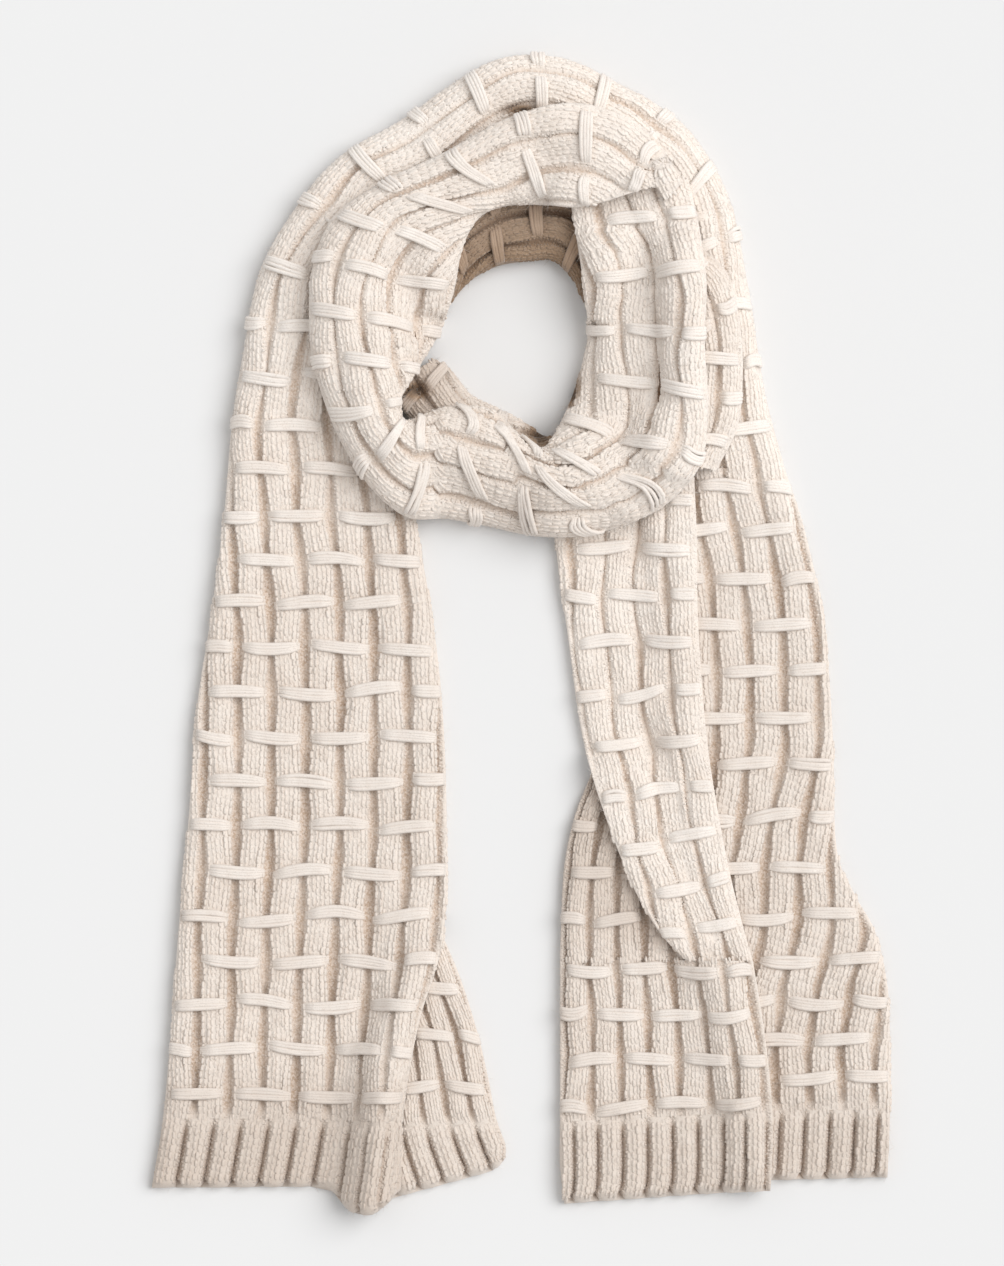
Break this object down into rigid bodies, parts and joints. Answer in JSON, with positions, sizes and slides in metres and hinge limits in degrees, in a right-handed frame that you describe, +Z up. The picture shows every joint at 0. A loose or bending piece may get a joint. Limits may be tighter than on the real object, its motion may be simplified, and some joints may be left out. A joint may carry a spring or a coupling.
{
  "type": "knitted scarf",
  "caption": "Chunky ribbed wool scarf with rows of tied yarn floats and ribbed hems, wound once into a neck loop and laid flat with both tails down.",
  "frame": {"origin": "centre of the laid scarf's box on the surface it lies on", "axes": "+Z up from the surface; +Y from the hems towards the top of the neck loop; +X to the right seen from above with the loop at the top"},
  "size_m": [0.4201, 0.6593, 0.0563],
  "materials": {
    "wool_knit": "brushed wool knit with rows of yarn floats, matt",
    "hem_rib": "brushed wool rib knit, matt",
    "yarn_float": "loose brushed wool yarn, matt"
  },
  "bodies": {
    "root": {"hem_left": "hem_rib", "hem_left_tuck": "hem_rib", "hem_right": "hem_rib", "tail_left": "wool_knit", "tail_left_tuck": "wool_knit", "tail_right": "wool_knit", "tail_right_tuck": "wool_knit", "tail_right_fold": "wool_knit", "fold_end": "wool_knit", "hem_fold": "hem_rib", "turn_left": "wool_knit", "turn_top": "wool_knit", "turn_right": "wool_knit", "loop_flank": "wool_knit", "loop_right": "wool_knit", "loop_bottom": "wool_knit", "loop_left": "wool_knit", "loop_top": "wool_knit", "inner_top": "wool_knit", "inner_bottom": "wool_knit"}
  },
  "joints": []
}
